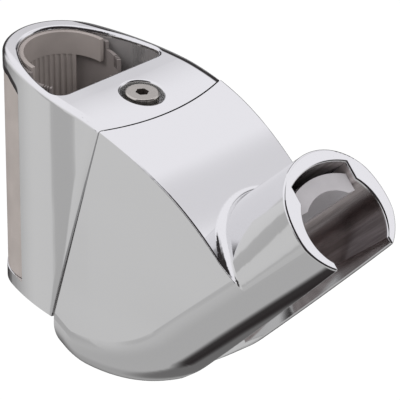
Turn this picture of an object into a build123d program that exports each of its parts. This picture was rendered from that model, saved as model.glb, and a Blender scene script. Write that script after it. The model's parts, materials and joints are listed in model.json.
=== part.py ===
from build123d import *
import math
import os

# Hand shower holder for a round wall rail, millimetres and degrees.
# Origin on the rail axis at mid-height of the slider, +X towards the cup, +Z up.

# Rail and slider
rail_radius = 11.0
rail_clearance = 0.15
slider_height = 62.0
back_radius = 16.4
half_width = 20.9
widest_x = 24.0
top_slope = 5.67
shoulder_x = 20.0
shoulder_radius = 78.0
shoulder_sweep = 75.0
top_edge_round = 1.0

# Passage for the rail
passage_radius = 12.4
side_wall = 2.4
passage_widest_x = 18.0
passage_front_x = 15.3
passage_corner = 3.0
passage_edge_round = 0.8
rim_depth = 1.6
lining_radius = 13.6
front_wall = 2.7

# Window and panel at the back of the slider
window_top = 27.2
window_side_top = 24.6
window_corner_x = -6.0
window_front_x = 0.0
window_bottom = -27.6
panel_recess = 0.25
panel_gap = 0.2

# Plastic guides in the passage
sleeve_wall = 1.0
sleeve_half_angle = 92.0
sleeve_low_half_angle = 118.0
sleeve_step_depth = 3.8
sleeve_slit_count = 3
sleeve_slit_width = 0.45
sleeve_slit_pitch = 0.75
sleeve_slit_length = 3.0
lip_height = 6.0
lip_half_angle = 89.0
lip_drop = 0.9
pad_half_angle = 53.0
flute_count = 13
flute_depth = 0.35
flute_radius = 0.6
seat_gap = 0.1
front_guide_half_width = 10.5
front_guide_top = 22.0
front_guide_bottom = -27.0

# Parting between slider and cradle
parting_x = 35.7
parting_z = 27.4
parting_radius = 66.0
parting_half_width = 46.0
parting_lean = 17.9
parting_gap_top = 0.4
parting_gap_bottom = 1.7

# Pocket in the slider's front for the pivot block
pocket_half_width = 16.0
pocket_bottom = -21.0
pocket_corner = 2.0
top_wall = 7.5

# Top screw, M5 low head
screw_x = 26.0
screw_head_radius = 4.25
screw_head_height = 3.5
screw_shank_radius = 2.5
screw_length = 12.0
screw_head_round = 0.4
screw_socket = 3.0
screw_socket_depth = 2.0
counterbore_radius = 5.4
counterbore_depth = 4.6
counterbore_round = 0.6
washer_radius = 4.4
washer_thickness = 0.9
washer_slit = 0.8
screw_clearance = 0.25

# Cradle and cup
cradle_wall = 2.6
cradle_bottom = -47.0
chin_radius = 54.0
chin_back_radius = 18.0
chin_back_angle = 30.0
bottom_round = 15.0
taper_start_x = 28.0
taper_radius = 223.5
cup_x = 91.9
cup_z = 19.2
cup_tilt = 42.5
cup_radius = 15.6
cup_side_drop = 5.3
cup_side_turn = 30.0
cup_side_lean = 14.5
cup_side_reach = 14.0
cup_length = 48.0
root_round = 2.4
bore_drop = 2.7
bore_mouth_radius = 12.1
bore_small_radius = 11.0
bore_depth = 36.0
slot_half_width = 9.2
hose_turn_depth = 56.0
hose_wall = 3.0
back_wall = 0.6
rim_round = 0.5
slot_round = 0.5
crease_round = 0.4

# Recess and insert at the back of the cup
notch_half_width = 9.3
notch_height = 12.0
notch_radius = 20.0
insert_drop = 2.2
insert_length = 30.0
insert_face_height = 5.6
insert_face_radius = 11.0
insert_tip_height = 3.0
insert_crown_gap = 2.2
insert_gap = 0.1

# Hinge
hinge_x = 40.0
hinge_z = 16.2
pin_radius = 2.5
pin_play = 0.05
pin_press = 0.01
pin_inner_gap = 2.0
pin_chamfer = 0.4
bush_wall = 1.0
bush_flange = 1.0
bush_inner_gap = 1.0
bush_flange_radius = 4.2
ear_radius = 5.2
ear_width = 4.5
ear_gap = 0.4
block_head_radius = 4.6
block_head_half_width = 7.2
block_step = 1.0
block_tail_half_width = 9.0
block_tail_height = 8.85
block_tail_back = 6.2
block_gap = 0.1
dowel_radius = 1.5
dowel_length = 5.0
dowel_spread = 6.4
dowel_back = 4.2

# Leaf spring on the block
spring_thickness = 0.5
spring_width = 8.0
spring_gap = 0.6
spring_tail = 4.0
spring_flat = 3.4
spring_bend = 1.5
spring_foot = 5.5
spring_top_gap = 2.0
spring_screw_x = 33.0
spring_screw_length = 4.5
small_screw_radius = 1.5
small_head_radius = 2.75
small_head_height = 1.6
small_slot = 0.7

# Brake
brake_z = -12.0
brake_half_width = 6.8
brake_half_height = 7.5
brake_gap = 0.15
shoe_clearance = 0.3
pad_thickness = 2.4
pad_margin = 0.5
shoe_round = 1.0
shoe_front_x = 20.4
guide_screw_z = 7.0
guide_screw_spread = 6.0
guide_screw_length = 4.6

# Adjusting screw in the cradle's bridge
adjuster_radius = 2.0
adjuster_length = 12.0
adjuster_socket = 2.0
adjuster_socket_depth = 2.0
adjuster_chamfer = 0.5
adjuster_tip_gap = 0.15
nut_flats = 7.0
nut_thickness = 2.2
bridge_back_x = 27.2
bridge_depth = 5.5
bridge_half_height = 4.5

# Plastic cover in the cradle's back
cover_thickness = 1.8
cover_reach_top = 0.1
cover_reach_bottom = 0.8
cover_lip_inset = 0.5
cover_lip_top = 18.0
cover_gap = 0.15
cover_window_half_width = 15.0
cover_window_bottom = 6.0
cover_hole_radius = 5.0

# How far an edge may turn from a direction and still count as running along it
aligned_angle = 25.0

# Worked out from the sizes above
far = 120.0
near = 0.02
overrun = 5.0
aligned = math.cos(math.radians(aligned_angle))
passage_half_width = half_width - side_wall
guide_radius = rail_radius + rail_clearance
slider_bottom = -slider_height / 2
top_at_rail = slider_height / 2
slope = math.radians(top_slope)
tilt = math.radians(cup_tilt)
chin_back = math.radians(chin_back_angle)
cup_direction = Vector(math.cos(tilt), 0, math.sin(tilt))
cup_up = Vector(-math.sin(tilt), 0, math.cos(tilt))
cup_centre = Vector(cup_x, 0, cup_z)
bore_centre = cup_centre - cup_up * bore_drop
lean_run = math.tan(math.radians(parting_lean))


def side_view(outline, half_depth=far):
    """Solid from an outline drawn in X and Z, the same to both sides of the middle."""
    return extrude(Plane.XZ * outline, half_depth, both=True)


def plan_view(outline, low=-far, high=far):
    """Solid from an outline drawn in X and Y, between two heights."""
    return extrude(Plane.XY.offset(low) * outline, high - low)


def rod(start, direction, radius, length):
    """Round bar from a point along a direction."""
    return Plane(origin=start, z_dir=direction) * Cylinder(
        radius, length, align=(Align.CENTER, Align.CENTER, Align.MIN))


def sector(half_angle):
    """Wedge of the plan, centred on the back of the rail."""
    angle = math.radians(180 - half_angle)
    tip = Vector(far * math.cos(angle), far * math.sin(angle))
    end = Vector(tip.X, -tip.Y)
    edges = [Line((0, 0), tip), ThreePointArc(tip, (-far, 0), end), Line(end, (0, 0))]
    return make_face(Curve() + edges)


def ring_wall(inner, outer, half_angle, low, high):
    """Part of a round wall about the rail, centred on its back."""
    band = (Circle(outer) - Circle(inner)) & sector(half_angle)
    return plan_view(band, low, high)


def teardrop(radius, widest, centre_x, front_x):
    """Plan outline: a round back that flows into two long side arcs and a straight front."""
    side = (centre_x ** 2 / (widest - radius) + widest + radius) / 2
    scale = radius / (side - radius)
    tangent = Vector(-centre_x * scale, (side - widest) * scale)
    middle_x = (tangent.X + centre_x) / 2
    middle = Vector(middle_x, widest - side + math.sqrt(side ** 2 - (middle_x - centre_x) ** 2))
    corner = Vector(centre_x, widest)
    front = Vector(front_x, widest)
    upper = [ThreePointArc(tangent, middle, corner), Line(corner, front)]
    lower = [edge.mirror(Plane.XZ) for edge in upper]
    back = ThreePointArc(tangent, (-radius, 0), (tangent.X, -tangent.Y))
    return make_face(Curve() + upper + lower + [back, Line(front, (front.X, -front.Y))])


def top_point(x, inset=0.0):
    """Point on the straight part of the top line, set in below it."""
    return Vector(x - inset * math.sin(slope), top_at_rail - x * math.tan(slope) - inset * math.cos(slope))


def shoulder_centre():
    """Centre of the arc that carries the top line down over the cradle."""
    start = top_point(shoulder_x)
    return start - Vector(math.sin(slope), math.cos(slope)) * shoulder_radius


def shoulder_point(angle, inset=0.0):
    """Point on the shoulder arc where the surface falls by this angle."""
    reach = shoulder_radius - inset
    return shoulder_centre() + Vector(math.sin(angle), math.cos(angle)) * reach


def under_top(inset=0.0):
    """Everything below the top line, set in from it."""
    end_angle = math.radians(shoulder_sweep)
    start = top_point(-far, inset)
    turn = shoulder_point(slope, inset)
    middle = shoulder_point((slope + end_angle) / 2, inset)
    end = shoulder_point(end_angle, inset)
    edges = [Line(start, turn), ThreePointArc(turn, middle, end),
             Polyline(end, (end.X, -far), (start.X, -far), start)]
    return side_view(make_face(Curve() + edges))


def behind_parting(gap_top, gap_bottom):
    """Everything behind the leaning round parting face, moved forward by the gaps."""
    reach = parting_half_width
    sag = parting_radius - math.sqrt(parting_radius ** 2 - reach ** 2)
    front = parting_x + gap_top
    edges = [ThreePointArc((front - sag, -reach), (front, 0), (front - sag, reach)),
             Polyline((front - sag, reach), (-far, reach), (-far, -reach), (front - sag, -reach))]
    face = make_face(Curve() + edges)
    run = lean_run - (gap_bottom - gap_top) / slider_height
    lowest = parting_z - far
    face = Pos(-run * far, 0, lowest) * face
    return extrude(face, 2 * far, dir=Vector(run, 0, 1).normalized())


def passage_outline():
    """Plan of the opening that the rail passes through."""
    outline = teardrop(passage_radius, passage_half_width, passage_widest_x, far)
    outline &= Pos(passage_front_x - far, 0) * Rectangle(2 * far, 2 * far)
    corners = outline.vertices().sort_by(Axis.X)[-2:]
    return fillet(corners, passage_corner)


def screw_plane(depth):
    """Plane square to the top screw, at a depth below the top face."""
    spot = top_point(screw_x, depth)
    return Plane(origin=(spot.X, 0, spot.Y), x_dir=(math.cos(slope), 0, -math.sin(slope)),
                 z_dir=(math.sin(slope), 0, math.cos(slope)))


def below_plane(plane):
    """Everything below a plane."""
    return plane * Box(2 * far, 2 * far, 2 * far, align=(Align.CENTER, Align.CENTER, Align.MAX))


def down_from(plane, radius, depth):
    """Round bar that goes down from a plane."""
    return plane * Cylinder(radius, depth, align=(Align.CENTER, Align.CENTER, Align.MAX))


def make_slider_housing():
    """Chromed casting that slides on the rail."""
    body = plan_view(teardrop(back_radius, half_width, widest_x, far / 2), slider_bottom, far)
    body &= under_top()
    body = fillet([edge for edge in body.edges() if is_top_rim(edge)], top_edge_round)
    body &= behind_parting(0, 0)
    body -= housing_cavity()
    body = fillet([edge for edge in body.edges() if is_passage_edge(edge)], passage_edge_round)
    body -= housing_pocket()
    body -= rear_window(0) - Cylinder(lining_radius, 2 * far)
    body -= down_from(screw_plane(0), counterbore_radius, counterbore_depth)
    body = fillet([edge for edge in body.edges() if is_counterbore_edge(edge)], counterbore_round)
    body -= down_from(screw_plane(0), screw_shank_radius + screw_clearance, far / 4)
    body -= brake_window(shoe_clearance)
    body -= guide_screw_shanks(screw_clearance)
    return body - dowels()


def is_top_rim(edge):
    """The outer edge of the top face, round the back and along both sides."""
    spot = edge @ 0.5
    run = edge % 0.5
    across = abs(run.Y) > aligned and spot.X > 0
    upright = abs(run.Z) > aligned
    return spot.Z > 0 and not across and not upright


def is_passage_edge(edge):
    """The edge of the passage in the top face."""
    spot = edge @ 0.5
    height = top_at_rail - spot.X * math.tan(slope)
    inside = math.hypot(spot.X, spot.Y) < passage_half_width and spot.X < passage_front_x + near
    return inside and abs(spot.Z - height) < near and abs((edge % 0.5).Z) < aligned


def is_counterbore_edge(edge):
    """The edge of the counterbore in the top face."""
    spot = screw_plane(0).to_local_coords(edge @ 0.5)
    on_wall = abs(math.hypot(spot.X, spot.Y) - counterbore_radius) < near
    return on_wall and spot.Z > -counterbore_depth / 2


def housing_cavity():
    """Passage for the rail, with a wider round seat for the lining below the rim."""
    walls = behind_parting(-front_wall, -front_wall)
    passage = plan_view(passage_outline(), slider_bottom - overrun, far) & walls
    seat = plan_view(Circle(lining_radius), slider_bottom + rim_depth, far)
    return passage + (seat & under_top(rim_depth))


def housing_pocket():
    """Pocket behind the parting face for the pivot block and the brake."""
    back = passage_front_x + front_wall
    outline = Pos((back + far) / 2, 0) * Rectangle(far - back, 2 * pocket_half_width)
    pocket = plan_view(fillet(outline.vertices(), pocket_corner), pocket_bottom, far)
    return pocket & below_plane(screw_plane(top_wall))


def brake_window(clearance):
    """Opening that the brake shoe slides through."""
    width = 2 * (brake_half_width + clearance)
    height = 2 * (brake_half_height + clearance)
    block = Box(far, width, height, align=(Align.MIN, Align.CENTER, Align.CENTER))
    reach = passage_front_x + front_wall + overrun
    opening = Pos(0, 0, brake_z) * block
    return opening & plan_view(Rectangle(2 * reach, far))


def rear_window(gap):
    """Space of the window at the back, in from its edges by a gap."""
    front = window_front_x - gap
    top = window_top - gap
    bottom = window_bottom + gap
    outline = Polyline((-far, bottom), (front, bottom), (front, window_side_top - gap),
                       (window_corner_x, top), (-far, top), close=True)
    return side_view(make_face(outline))


def make_rear_panel():
    """Round plastic panel that fills the window at the back."""
    wall = Circle(back_radius - panel_recess) - Circle(lining_radius + seat_gap)
    return plan_view(wall) & rear_window(panel_gap)


def make_guide_sleeve():
    """Thin plastic lining in the round seat of the passage, wider and slit at its ends below a step."""
    outer = lining_radius - seat_gap / 2
    inner = outer - sleeve_wall
    bottom = slider_bottom + rim_depth + seat_gap
    upper = ring_wall(inner, outer, sleeve_half_angle, bottom, far) & under_top(rim_depth + seat_gap)
    lower = ring_wall(inner, outer, sleeve_low_half_angle, bottom, far) & under_top(sleeve_step_depth)
    slit_floor = under_top(sleeve_step_depth + sleeve_slit_length)
    for i in range(sleeve_slit_count):
        angle = sleeve_low_half_angle - math.degrees((i + 1) * sleeve_slit_pitch / outer)
        for side in (-1, 1):
            slit = Box(far, sleeve_slit_width, 2 * far, align=(Align.MAX, Align.CENTER, Align.CENTER))
            lower -= Rot(0, 0, side * angle) * slit - slit_floor
    return upper + lower


def make_rear_guide():
    """Moulded guide: half-ring lips at both ends and a fluted pad between them."""
    outer = lining_radius - sleeve_wall - seat_gap
    lip = ring_wall(guide_radius, passage_radius - seat_gap, lip_half_angle, slider_bottom + lip_drop, far)
    lip &= under_top(lip_drop)
    middle = under_top(lip_drop + lip_height)
    middle &= plan_view(Rectangle(far, far), slider_bottom + lip_drop + lip_height, far)
    pad = ring_wall(guide_radius, outer, pad_half_angle, slider_bottom + lip_drop, far) & middle
    guide = (lip - middle) + pad
    reach = guide_radius + flute_depth - flute_radius
    for i in range(flute_count):
        angle = 180 + (i - (flute_count - 1) / 2) * 2 * pad_half_angle / (flute_count + 1)
        guide -= Rot(0, 0, angle) * Pos(reach, 0, 0) * Cylinder(flute_radius, far) & middle
    return guide


def make_front_guide():
    """Plastic guide on the front wall of the passage, with a window for the brake shoe."""
    front = passage_front_x - seat_gap
    outline = Pos(front / 2, 0) * Rectangle(front, 2 * front_guide_half_width)
    block = plan_view(outline - Circle(guide_radius), front_guide_bottom, front_guide_top)
    block &= behind_parting(-front_wall - seat_gap, -front_wall - seat_gap)
    block -= brake_window(shoe_clearance)
    return block - guide_screw_shanks(0)


def guide_screw_shanks(clearance):
    """Shanks of the two screws that hold the front guide."""
    back = passage_front_x + front_wall
    shanks = Part()
    for side in (-1, 1):
        start = Vector(back, side * guide_screw_spread, guide_screw_z)
        shanks += rod(start, (-1, 0, 0), small_screw_radius + clearance, guide_screw_length)
    return shanks


def small_screw(head_seat, direction, length):
    """Small slotted screw whose head stands on a seat and whose shank goes along the direction."""
    along = Vector(direction)
    head = rod(head_seat, along * -1, small_head_radius, small_head_height)
    shank = rod(head_seat, along, small_screw_radius, length)
    slot = Plane(origin=Vector(head_seat) - along * small_head_height, z_dir=along) * Box(
        2 * small_head_radius, small_slot, small_head_height)
    return head + shank - slot


def make_guide_screws():
    """Two screws from the pocket into the front guide."""
    back = passage_front_x + front_wall
    spots = [Vector(back, side * guide_screw_spread, guide_screw_z) for side in (-1, 1)]
    return [small_screw(spot, (-1, 0, 0), guide_screw_length) for spot in spots]


def block_outline():
    """Side outline of the pivot block: a tail under the top wall and a round hinge head."""
    plane = screw_plane(top_wall + block_gap)
    back = plane.from_local_coords(Vector(-block_tail_back, 0, 0))
    corner = plane.from_local_coords(Vector(-block_tail_back, 0, -block_tail_height))
    front = plane.from_local_coords(Vector(hinge_x - screw_x - block_head_radius, 0, 0))
    under = plane.from_local_coords(Vector(hinge_x - screw_x - block_head_radius, 0, -block_tail_height))
    tail = make_face(Polyline((back.X, back.Z), (front.X, front.Z), (hinge_x, hinge_z + block_head_radius),
                              (hinge_x, hinge_z - block_head_radius), (under.X, under.Z),
                              (corner.X, corner.Z), close=True))
    return tail + Pos(hinge_x, hinge_z) * Circle(block_head_radius)


def make_pivot_block():
    """Block that the top screw clamps under the top wall, with the hinge in its head."""
    head_x = hinge_x - block_head_radius - block_step
    tail = side_view(block_outline(), block_tail_half_width)
    tail &= Pos(head_x - far, 0, 0) * Box(2 * far, 2 * far, 2 * far)
    block = side_view(block_outline(), block_head_half_width) + tail
    bush_hole = pin_radius + pin_play + bush_wall + pin_press
    block -= rod((hinge_x, -far / 2, hinge_z), (0, 1, 0), bush_hole, far)
    block -= down_from(screw_plane(0), screw_shank_radius, far / 4)
    block -= dowels()
    return block - rod(spring_seat(), screw_plane(0).z_dir, small_screw_radius, spring_screw_length)


def dowels():
    """Two locating pins across the joint of the housing and the block."""
    pins = Part()
    plane = screw_plane(top_wall - dowel_length / 2)
    for side in (-1, 1):
        pins += plane * Pos(-dowel_back, side * dowel_spread, 0) * Cylinder(
            dowel_radius, dowel_length, align=(Align.CENTER, Align.CENTER, Align.MAX))
    return pins


def make_top_screw():
    """Low-head socket screw that holds the block."""
    seat = screw_plane(counterbore_depth - washer_thickness)
    head = rod(seat.origin, seat.z_dir, screw_head_radius, screw_head_height)
    head = fillet(head.edges().group_by(Axis.Z)[-1], screw_head_round)
    screw = head + down_from(seat, screw_shank_radius, screw_length)
    socket = extrude(RegularPolygon(screw_socket / 2, 6, major_radius=False), screw_socket_depth)
    return screw - seat * Pos(0, 0, screw_head_height - screw_socket_depth) * socket


def make_lock_washer():
    """Split spring washer under the head."""
    seat = screw_plane(counterbore_depth)
    ring = extrude(Circle(washer_radius) - Circle(screw_shank_radius + screw_clearance), washer_thickness)
    slit = Box(washer_radius * 2, washer_slit, far, align=(Align.MIN, Align.CENTER, Align.CENTER))
    return seat * (ring - slit)


def make_hinge_bushes():
    """Two flanged bushes in the block's head."""
    inner = pin_radius + pin_play
    bushes = []
    for side in (-1, 1):
        face = Vector(hinge_x, side * block_head_half_width, hinge_z)
        inward = Vector(0, -side, 0)
        shell = rod(face, inward, inner + bush_wall, block_head_half_width - bush_inner_gap)
        flange = rod(face, inward * -1, bush_flange_radius, bush_flange)
        hole = rod(face + inward * far / 2, inward * -1, inner, far)
        bushes.append(shell + flange - hole)
    return bushes


def ear_start():
    """Distance of an ear's inner face from the middle plane."""
    return block_head_half_width + bush_flange + ear_gap


def make_hinge_pins():
    """Two stub pins pressed into the cradle's ears."""
    pins = []
    length = ear_start() + ear_width - pin_inner_gap
    for side in (-1, 1):
        pin = rod((hinge_x, side * pin_inner_gap, hinge_z), (0, side, 0), pin_radius, length)
        pins.append(chamfer(pin.edges(), pin_chamfer))
    return pins


def under_block(x, drop=0.0):
    """Point on the block's underside, at a distance in front of the top screw and set down from it."""
    plane = screw_plane(top_wall + block_gap)
    return plane.from_local_coords(Vector(x - screw_x, 0, -block_tail_height - drop))


def spring_seat():
    """Centre of the spring screw's hole in the block's underside."""
    return under_block(spring_screw_x)


def hollow_front_offset():
    """Distance of the hollow's front wall above the cup's axis."""
    return bore_mouth_radius - bore_drop + hose_wall + back_wall


def hollow_ceiling_depth():
    """Depth below the rim at which the hollow's front wall meets its ceiling."""
    centre = shoulder_centre()
    wall_point = cup_centre + cup_up * hollow_front_offset()
    reach = Vector(wall_point.X - centre.X, 0, wall_point.Z - centre.Y)
    along = reach.dot(cup_direction)
    aside = reach.dot(cup_up)
    return along - math.sqrt((shoulder_radius - cradle_wall) ** 2 - aside ** 2)


def make_leaf_spring():
    """Bent strip: flat under the block, then an arm with a foot close to the hollow's front wall."""
    back = under_block(spring_screw_x - spring_tail, spring_thickness / 2)
    bend = under_block(spring_screw_x + spring_flat, spring_thickness / 2)
    wall_point = cup_centre + cup_up * (hollow_front_offset() + spring_gap + spring_thickness / 2)
    high = wall_point - cup_direction * (hollow_ceiling_depth() + spring_top_gap)
    low = high - cup_direction * spring_foot
    path = FilletPolyline(*[(point.X, point.Z) for point in (back, bend, low, high)], radius=spring_bend)
    strip = side_view(trace(path, spring_thickness), spring_width / 2)
    hole = down_from(screw_plane(0), small_screw_radius + seat_gap, far)
    return strip - Pos(spring_seat() - screw_plane(0).origin) * hole


def make_spring_screw():
    """Screw that holds the spring under the block."""
    head = under_block(spring_screw_x, spring_thickness)
    return small_screw(head, screw_plane(0).z_dir, spring_screw_length)


def bottom_centre():
    """Centre of the chin's arc, tangent to the bottom and to the underside of the cup."""
    z = cradle_bottom + chin_radius
    along = (z - cup_z) * math.cos(tilt) - (chin_radius - cup_radius)
    return Vector(cup_x + along / math.sin(tilt), z)


def chin_back_centre():
    """Centre of the smaller arc that carries the bottom up behind the chin."""
    return bottom_centre() - Vector(0, chin_radius - chin_back_radius)


def chin_back_point(angle, inset=0.0):
    """Point on the arc behind the chin, at an angle from its lowest point."""
    return chin_back_centre() - Vector(math.sin(angle), math.cos(angle)) * (chin_back_radius - inset)


def cradle_keel(inset=0.0):
    """Side outline of the cradle's underside, open far above it."""
    down = Vector(math.sin(tilt), -math.cos(tilt))
    rim_low = Vector(cup_x, cup_z) + down * (cup_radius - inset)
    rim_high = rim_low - down * far
    centre = bottom_centre()
    reach = chin_radius - inset
    tangent = centre + down * reach
    half = centre + Vector(math.sin(tilt / 2), -math.cos(tilt / 2)) * reach
    lowest = centre + Vector(0, -reach)
    rise = chin_back
    end = chin_back_point(rise, inset)
    back = end + Vector(-math.cos(rise), math.sin(rise)) * far / 4
    edges = [Line(rim_low, tangent), ThreePointArc(tangent, half, lowest),
             ThreePointArc(lowest, chin_back_point(rise / 2, inset), end), Line(end, back),
             Polyline(back, (back.X, rim_high.Y), rim_high, rim_low)]
    return make_face(Curve() + edges)


def taper_angle():
    """Angle of the plan's straight taper, which leads to the cup's width at the rim."""
    run = cup_x + cup_side_drop * math.sin(tilt) - taper_start_x
    rest = taper_radius - half_width + cup_radius
    return math.atan2(run, rest) - math.acos(taper_radius / math.hypot(run, rest))


def taper_half_width(x):
    """Half-width of the cradle on the straight part of its taper."""
    rim_x = cup_x + cup_side_drop * math.sin(tilt)
    return cup_radius + (rim_x - x) * math.tan(taper_angle())


def cradle_plan(inset=0.0):
    """Plan of the cradle: parallel at the back, then an arc and a straight taper to the cup."""
    angle = taper_angle()
    radius = taper_radius - inset
    centre = Vector(taper_start_x, half_width - taper_radius)
    arc_start = centre + Vector(0, radius)
    arc_middle = centre + Vector(math.sin(angle / 2), math.cos(angle / 2)) * radius
    arc_end = centre + Vector(math.sin(angle), math.cos(angle)) * radius
    end = arc_end + Vector(math.cos(angle), -math.sin(angle)) * far
    back = Vector(-far, arc_start.Y)
    upper = [Line(back, arc_start), ThreePointArc(arc_start, arc_middle, arc_end), Line(arc_end, end)]
    lower = [edge.mirror(Plane.XZ) for edge in upper]
    ends = [Line(back, (back.X, -back.Y)), Line(end, (end.X, -end.Y))]
    return make_face(Curve() + upper + lower + ends)


def cradle_envelope(inset=0.0):
    """Sides and rounded underside of the cradle, open far above."""
    body = side_view(cradle_keel(inset)) & plan_view(cradle_plan(inset))
    return fillet([edge for edge in body.edges() if is_underside(edge, inset)], bottom_round - inset)


def is_underside(edge, inset):
    """The long lower edges, along the bottom, the chin and the underside of the cup."""
    spot = edge @ 0.5
    run = edge % 0.5
    if abs(spot.Y) < slot_half_width or abs(run.Y) > aligned or abs(run.Z) > aligned:
        return False
    centre = bottom_centre()
    back_centre = chin_back_centre()
    chin_reach = math.hypot(spot.X - centre.X, spot.Z - centre.Y)
    back_reach = math.hypot(spot.X - back_centre.X, spot.Z - back_centre.Y)
    end = chin_back_point(chin_back, inset)
    drop = (spot.X - end.X) * math.sin(chin_back) + (spot.Z - end.Y) * math.cos(chin_back)
    on_chin = abs(chin_reach - chin_radius + inset) < near and spot.Z < centre.Y
    on_back = abs(back_reach - chin_back_radius + inset) < near and spot.Z < back_centre.Y
    on_tail = abs(drop) < near and spot.X < end.X
    on_cup = abs((spot - cup_centre).dot(cup_up) + cup_radius - inset) < near
    return on_chin or on_back or on_tail or on_cup


def round_loss():
    """How much the rounded underside has narrowed the block at the plane of the cup's sides."""
    angle = taper_angle()
    skew = math.sin(tilt) * math.sin(angle)
    rise = cup_side_drop - cup_radius + bottom_round
    reach = math.sqrt(bottom_round ** 2 - rise ** 2)
    return (bottom_round - rise * skew - reach * math.sqrt(1 - skew ** 2)) / math.cos(angle)


def cup_section(depth):
    """Outside of the cup at a depth below the rim: a round top whose sides run out to the envelope."""
    foot_x = cup_x - depth * math.cos(tilt) + cup_side_drop * math.sin(tilt)
    low = Vector(taper_half_width(foot_x) - round_loss(), -cup_side_drop)
    turn = math.radians(cup_side_turn)
    lean = Vector(math.sin(math.radians(cup_side_lean)), math.cos(math.radians(cup_side_lean)))
    high = Vector(math.cos(turn), math.sin(turn)) * cup_radius
    deep = low - lean * cup_side_reach
    side = [Line(deep, low), Spline(low, high, tangents=[lean, (-math.sin(turn), math.cos(turn))])]
    over = ThreePointArc(high, (0, cup_radius), (-high.X, high.Y))
    under = Line((-deep.X, deep.Y), deep)
    other = [edge.mirror(Plane.YZ) for edge in side]
    return cup_plane(-depth) * make_face(Curve() + side + other + [over, under])


def is_root(edge):
    """The edge where the cup comes out of the falling top."""
    centre = shoulder_centre()
    spots = [edge @ t for t in (0.1, 0.5, 0.9)]
    on_top = all(abs(math.hypot(p.X - centre.X, p.Z - centre.Y) - shoulder_radius) < near for p in spots)
    return on_top and all(abs(p.Y) < half_width for p in spots)


def cradle_form():
    """Outer form of the cradle: the cup blends into the falling top, and the sides cut both off."""
    cup = loft([cup_section(0), cup_section(cup_length)], ruled=True)
    body = under_top() + cup
    body = fillet([edge for edge in body.edges() if is_root(edge)], root_round)
    body &= cradle_envelope()
    return fillet([edge for edge in body.edges() if is_crease(edge)], crease_round)


def cup_bore():
    """Conical seat for the hand shower, the hose channel below it and the slot in front."""
    mouth = Plane(origin=bore_centre, z_dir=cup_direction)
    taper = (bore_mouth_radius - bore_small_radius) / bore_depth
    cone = mouth * Pos(0, 0, -bore_depth) * Cone(
        bore_small_radius, bore_mouth_radius + taper * overrun, bore_depth + overrun,
        align=(Align.CENTER, Align.CENTER, Align.MIN))
    turn = bore_centre - cup_direction * hose_turn_depth
    channel = rod(turn, cup_direction, slot_half_width, hose_turn_depth)
    drop = rod(turn, (0, 0, -1), slot_half_width, far)
    bend = Pos(turn) * Sphere(slot_half_width)
    return cone + channel + drop + bend + hose_slot(turn)


def hose_slot(turn):
    """Straight-sided slot from the rim down to the underside."""
    front = bore_centre + cup_direction * overrun
    outside = front - cup_up * far
    outline = make_face(Polyline((turn.X, turn.Z), (front.X, front.Z), (outside.X, outside.Z),
                                 (turn.X, -far), close=True))
    return side_view(outline, slot_half_width)


def notch():
    """Recess for the insert at the back of the cup."""
    outline = Pos(0, notch_height / 2) * Rectangle(2 * notch_half_width, notch_height)
    outline &= Pos(0, notch_height - notch_radius) * Circle(notch_radius)
    return cup_plane(overrun) * extrude(outline, -insert_drop - insert_length - overrun)


def cup_plane(over=0.0):
    """Plane of the rim: local X across, local Y up along the back of the cup."""
    return Plane(origin=cup_centre + cup_direction * over, x_dir=(0, 1, 0), z_dir=cup_direction)


def make_cup_insert():
    """Plastic pad in the recess, hollowed for the handle."""
    height = notch_height - insert_tip_height
    width = 2 * (notch_half_width - insert_gap)
    outline = Pos(0, insert_tip_height + height / 2) * Rectangle(width, height)
    crown = notch_height - insert_crown_gap
    outline &= Pos(0, crown - notch_radius) * Circle(notch_radius - insert_gap)
    outline -= Pos(0, insert_face_height - insert_face_radius) * Circle(insert_face_radius)
    pad = cup_plane(-insert_drop) * extrude(outline, -insert_length + insert_gap)
    return pad


def cradle_hollow():
    """Space inside the cradle for the hinge, the spring and the brake's bridge."""
    wall_point = cup_centre + cup_up * hollow_front_offset()
    top = wall_point + cup_direction * overrun
    turn = bore_centre - cup_direction * hose_turn_depth
    back = turn.X - slot_half_width - hose_wall
    run = (wall_point.X - back) / cup_direction.X
    elbow = wall_point - cup_direction * run
    outline = make_face(Polyline((-far, far), (top.X, far), (top.X, top.Z), (elbow.X, elbow.Z),
                                 (elbow.X, -far), (-far, -far), close=True))
    return cradle_envelope(cradle_wall) & under_top(cradle_wall) & side_view(outline)


def ears():
    """Two ears that hang from the top wall and hold the hinge pins."""
    outline = Pos(hinge_x, hinge_z) * Circle(ear_radius)
    outline += Pos(hinge_x, hinge_z + far / 4) * Rectangle(2 * ear_radius, far / 2)
    plate = side_view(outline, ear_start() + ear_width) - side_view(outline, ear_start())
    return plate & under_top(cradle_wall / 2)


def bridge():
    """Wall across the hollow that holds the adjusting screw."""
    middle = bridge_back_x + bridge_depth / 2
    return Pos(middle, 0, brake_z) * Box(bridge_depth, 2 * half_width, 2 * bridge_half_height)


def is_crease(edge):
    """The edges between the cradle's sides and the falling part of its top."""
    centre = shoulder_centre()
    spot = edge @ 0.5
    reach = math.hypot(spot.X - centre.X, spot.Z - centre.Y)
    on_top = abs(reach - shoulder_radius) < near
    along_side = abs((edge % 0.5).Y) < math.sin(taper_angle()) + near
    return on_top and along_side and abs(spot.Y) > cup_radius


def is_slot_edge(edge):
    """The long inner and outer edges of the cup's slot, parallel to its axis and open at the rim."""
    end = max((edge @ t - cup_centre).dot(cup_direction) for t in (0, 1))
    beside = abs(abs((edge @ 0.5).Y) - slot_half_width) < near
    return beside and abs((edge % 0.5).dot(cup_direction)) > aligned and end > -near


def is_rim_edge(edge):
    """All edges in the plane of the rim."""
    return all(abs((edge @ t - cup_centre).dot(cup_direction)) < near for t in (0, 0.5, 1))


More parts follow.
